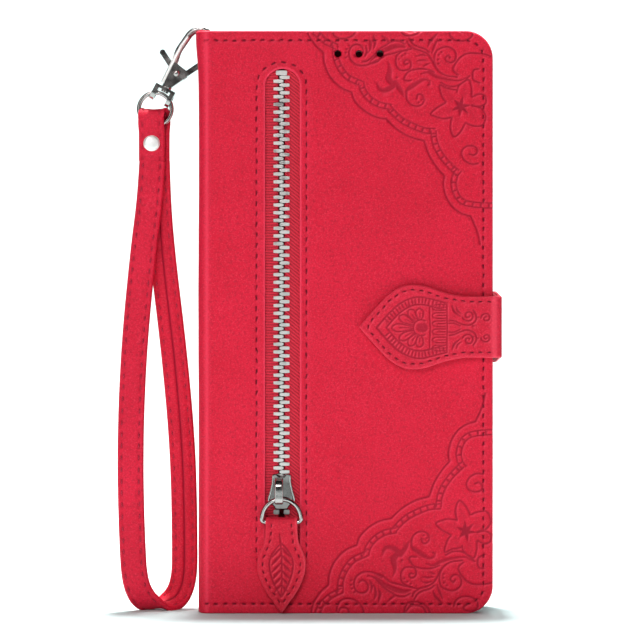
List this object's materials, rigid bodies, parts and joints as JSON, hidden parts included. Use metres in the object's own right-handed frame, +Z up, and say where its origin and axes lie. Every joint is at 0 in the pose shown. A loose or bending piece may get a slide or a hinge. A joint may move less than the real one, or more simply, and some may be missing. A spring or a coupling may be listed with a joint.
{
  "type": "phone wallet case",
  "caption": "Folding phone wallet case with a zip coin pocket in the front cover, a magnetic clasp tab, and a wrist strap on a swivel clip.",
  "frame": {"origin": "bottom centre of the closed case, its clasp and its zip pull, without the lanyard", "axes": "+Z up the case's height, +X from the spine to the free edge, -Y out of the front cover"},
  "size_m": [0.111, 0.023, 0.1713],
  "materials": {
    "red_leather": "matt, fine grain",
    "lining": "matt, smooth",
    "tape": "woven",
    "pocket_cloth": "woven",
    "foam": "matt foam",
    "board": "matt",
    "shell": "satin, flexible",
    "silver": "polished nickel plate",
    "steel": "plain, hidden"
  },
  "bodies": {
    "back": {"back_leather": "red_leather", "back_board": "board", "back_lining": "lining", "phone_shell": "shell", "clasp_anchor": "red_leather"},
    "spine": {"spine_leather": "red_leather", "spine_lining": "lining"},
    "front_cover": {"front_leather": "red_leather", "front_foam": "foam", "front_board": "board", "front_lining": "lining", "coin_pocket_lining": "pocket_cloth", "clasp_keeper": "steel", "card_pocket_1": "lining", "card_pocket_2": "lining", "card_pocket_3": "lining", "zip_tape_left": "tape", "zip_tape_right": "tape", "zip_teeth_left": "silver", "zip_teeth_right": "silver", "zip_stop_left": "silver", "zip_stop_right": "silver", "zip_end_stop": "silver"},
    "clasp_side": {"clasp_side_leather": "red_leather", "clasp_side_lining": "lining"},
    "clasp_tab": {"clasp_tab_leather": "red_leather", "clasp_tab_lining": "lining", "clasp_magnet": "steel"},
    "slider": {"zip_slider": "silver"},
    "ring_pull": {"pull_ring": "silver"},
    "leaf_pull": {"leaf_front": "red_leather", "leaf_back": "red_leather"},
    "clip": {"hook": "silver", "gate_pin": "silver"},
    "gate": {"hook_gate": "silver"},
    "eye": {"swivel_eye": "silver"},
    "loop_ring": {"strap_ring": "silver"},
    "strap": {"strap_fold": "red_leather", "strap_rivet": "silver", "wrist_strap": "red_leather"}
  },
  "joints": [
    {"name": "spine_fold", "type": "hinge", "parent": "back", "child": "spine", "pos_m": [-0.04055, 0.01063, 0.084], "axis": [0, 0, 1], "range_deg": [-90, 0]},
    {"name": "cover_fold", "type": "hinge", "parent": "spine", "child": "front_cover", "pos_m": [-0.04055, -0.00827, 0.084], "axis": [0, 0, 1], "range_deg": [-180, 0]},
    {"name": "clasp_fold", "type": "hinge", "parent": "back", "child": "clasp_side", "pos_m": [0.04195, 0.01162, 0.0826], "axis": [0, 0, 1], "range_deg": [0, 150]},
    {"name": "tab_lift", "type": "hinge", "parent": "clasp_side", "child": "clasp_tab", "pos_m": [0.04195, -0.01057, 0.0826], "axis": [0, 0, 1], "range_deg": [0, 170]},
    {"name": "zip_slide", "type": "slide", "parent": "front_cover", "child": "slider", "axis": [0, 0, 1], "range_m": [0, 0.1149], "deforming": ["zip_teeth_left", "zip_teeth_right"]},
    {"name": "ring_swing", "type": "hinge", "parent": "slider", "child": "ring_pull", "pos_m": [-0.0197, -0.01002, 0.0331], "axis": [1, 0, 0], "range_deg": [-150, 0]},
    {"name": "leaf_swing", "type": "hinge", "parent": "ring_pull", "child": "leaf_pull", "pos_m": [-0.0197, -0.01002, 0.0265], "axis": [1, 0, 0], "range_deg": [-30, 0]},
    {"name": "clip_swing", "type": "hinge", "parent": "spine", "child": "clip", "pos_m": [-0.04305, 0.00118, 0.16], "axis": [0, 0, 1], "range_deg": [-4, 25]},
    {"name": "gate_open", "type": "hinge", "parent": "clip", "child": "gate", "pos_m": [-0.05045, 0.00118, 0.1565], "axis": [0, -1, 0], "range_deg": [0, 25], "stiffness_Nm_per_rad": 0.01, "springref_deg": -17.19},
    {"name": "swivel", "type": "hinge", "parent": "clip", "child": "eye", "pos_m": [-0.05386, 0.00118, 0.15155], "axis": [0.4664, 0, 0.8846], "continuous": true},
    {"name": "ring_tilt", "type": "hinge", "parent": "eye", "child": "loop_ring", "pos_m": [-0.05479, 0.00118, 0.14977], "axis": [-0.8846, 0, 0.4664], "range_deg": [-50, 50]},
    {"name": "strap_slip", "type": "hinge", "parent": "loop_ring", "child": "strap", "pos_m": [-0.05669, 0.00118, 0.14618], "axis": [0, 1, 0], "range_deg": [0, 45]}
  ]
}
